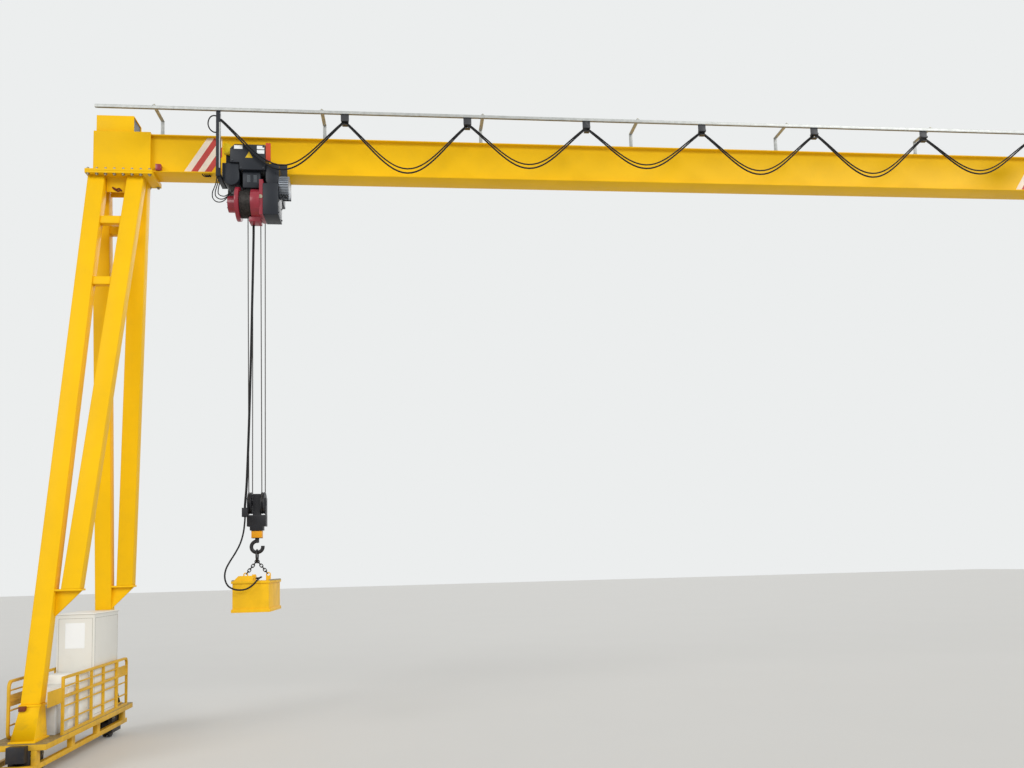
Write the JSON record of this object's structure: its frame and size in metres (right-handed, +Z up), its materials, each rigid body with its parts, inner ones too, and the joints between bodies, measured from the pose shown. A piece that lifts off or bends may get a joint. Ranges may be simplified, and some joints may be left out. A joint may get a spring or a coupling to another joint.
{
  "type": "semi-gantry crane",
  "caption": "Single-girder semi-gantry workshop crane with a splayed leg, a low-headroom rope hoist, festoon cable and a hanging lifting magnet.",
  "frame": {"origin": "floor level on the ground rail's centre line, midway between the two ground wheels", "axes": "+X along the girder towards the wall rail, +Y along the rails away from the front, +Z up"},
  "size_m": [12.93, 2.798, 7.047],
  "materials": {
    "crane_paint": "semi gloss",
    "cabinet_paint": "satin",
    "grey_paint": "satin",
    "black_paint": "satin",
    "wheel_steel": "worn",
    "galvanised": "matte",
    "cable_rubber": "matte",
    "buffer_rubber": "matte",
    "red_paint": "satin",
    "deck_steel": "worn",
    "slate_paint": "satin",
    "motor_aluminium": "cast",
    "rope_steel": "greased",
    "carrier_plastic": "matte",
    "hook_steel": "satin",
    "magnet_paint": "worn"
  },
  "bodies": {
    "crane": {"main_girder": "crane_paint", "leg_head": "crane_paint", "top_box": "crane_paint", "leg_plate": "crane_paint", "leg_near_outer": "crane_paint", "leg_near_inner": "crane_paint", "leg_far_outer": "crane_paint", "leg_far_inner": "crane_paint", "rungs": "crane_paint", "knees": "crane_paint", "feet": "crane_paint", "wheel_blocks": "black_paint", "deck_frame": "crane_paint", "deck_plate": "deck_steel", "bumper_frame": "crane_paint", "guard_right": "crane_paint", "guard_left": "crane_paint", "control_cabinet": "cabinet_paint", "low_cabinets": "cabinet_paint", "upright_box": "grey_paint", "festoon_rail": "galvanised", "festoon_brackets": "galvanised", "festoon_box": "grey_paint", "festoon_cable": "cable_rubber", "wall_truck": "crane_paint", "wall_buffers": "buffer_rubber", "trolley_stops": "red_paint"},
    "ground_wheel_near": {"ground_wheel_near": "wheel_steel"},
    "ground_wheel_far": {"ground_wheel_far": "wheel_steel"},
    "wall_wheel_near": {"wall_wheel_near": "wheel_steel"},
    "wall_wheel_far": {"wall_wheel_far": "wheel_steel"},
    "trolley": {"trolley_frame": "slate_paint", "trolley_wheels": "wheel_steel", "drum": "rope_steel", "rope_guide": "red_paint", "gearbox": "slate_paint", "hoist_motor": "motor_aluminium", "control_box": "slate_paint", "hoist_housing": "slate_paint", "traverse_drives": "slate_paint", "counterweight": "slate_paint", "tow_arm": "galvanised", "hoist_ropes": "rope_steel", "power_cable": "cable_rubber"},
    "carrier_1": {"carrier_1": "carrier_plastic"},
    "carrier_2": {"carrier_2": "carrier_plastic"},
    "carrier_3": {"carrier_3": "carrier_plastic"},
    "carrier_4": {"carrier_4": "carrier_plastic"},
    "carrier_5": {"carrier_5": "carrier_plastic"},
    "carrier_6": {"carrier_6": "carrier_plastic"},
    "hook_block": {"hook_block": "hook_steel"},
    "hook": {"hook": "hook_steel", "chain_sling": "hook_steel", "magnet": "magnet_paint", "magnet_lead": "cable_rubber"}
  },
  "joints": [
    {"name": "trolley_travel", "type": "slide", "parent": "crane", "child": "trolley", "axis": [1, 0, 0], "range_m": [-0.55, 8.9], "deforming": ["festoon_cable"]},
    {"name": "hook_lift", "type": "slide", "parent": "trolley", "child": "hook_block", "axis": [0, 0, 1], "range_m": [-1.4, 2.6], "deforming": ["hoist_ropes", "power_cable"]},
    {"name": "hook_swivel", "type": "hinge", "parent": "hook_block", "child": "hook", "pos_m": [1.92, 0, 2.3], "axis": [0, 0, 1], "range_deg": [-90, 90], "deforming": ["magnet_lead"]},
    {"name": "ground_wheel_near_spin", "type": "hinge", "parent": "crane", "child": "ground_wheel_near", "pos_m": [0, -1.15, 0.125], "axis": [1, 0, 0], "continuous": true},
    {"name": "ground_wheel_far_spin", "type": "hinge", "parent": "crane", "child": "ground_wheel_far", "pos_m": [0, 1.15, 0.125], "axis": [1, 0, 0], "continuous": true},
    {"name": "wall_wheel_near_spin", "type": "hinge", "parent": "crane", "child": "wall_wheel_near", "pos_m": [12.4, -1, 6.25], "axis": [1, 0, 0], "continuous": true},
    {"name": "wall_wheel_far_spin", "type": "hinge", "parent": "crane", "child": "wall_wheel_far", "pos_m": [12.4, 1, 6.25], "axis": [1, 0, 0], "continuous": true},
    {"name": "carrier_1_travel", "type": "slide", "parent": "trolley", "child": "carrier_1", "axis": [1, 0, 0], "range_m": [-1.3, 0.1]},
    {"name": "carrier_2_travel", "type": "slide", "parent": "carrier_1", "child": "carrier_2", "axis": [1, 0, 0], "range_m": [-1.3, 0.1]},
    {"name": "carrier_3_travel", "type": "slide", "parent": "carrier_2", "child": "carrier_3", "axis": [1, 0, 0], "range_m": [-1.3, 0.1]},
    {"name": "carrier_4_travel", "type": "slide", "parent": "carrier_3", "child": "carrier_4", "axis": [1, 0, 0], "range_m": [-1.3, 0.1]},
    {"name": "carrier_5_travel", "type": "slide", "parent": "carrier_4", "child": "carrier_5", "axis": [1, 0, 0], "range_m": [-1.3, 0.1]},
    {"name": "carrier_6_travel", "type": "slide", "parent": "carrier_5", "child": "carrier_6", "axis": [1, 0, 0], "range_m": [-1.3, 0.1]}
  ],
  "couplings": [
    {"joint": "carrier_1_travel", "follows": "trolley_travel", "ratio": -0.14286},
    {"joint": "carrier_2_travel", "follows": "trolley_travel", "ratio": -0.14286},
    {"joint": "carrier_3_travel", "follows": "trolley_travel", "ratio": -0.14286},
    {"joint": "carrier_4_travel", "follows": "trolley_travel", "ratio": -0.14286},
    {"joint": "carrier_5_travel", "follows": "trolley_travel", "ratio": -0.14286},
    {"joint": "carrier_6_travel", "follows": "trolley_travel", "ratio": -0.14286}
  ]
}
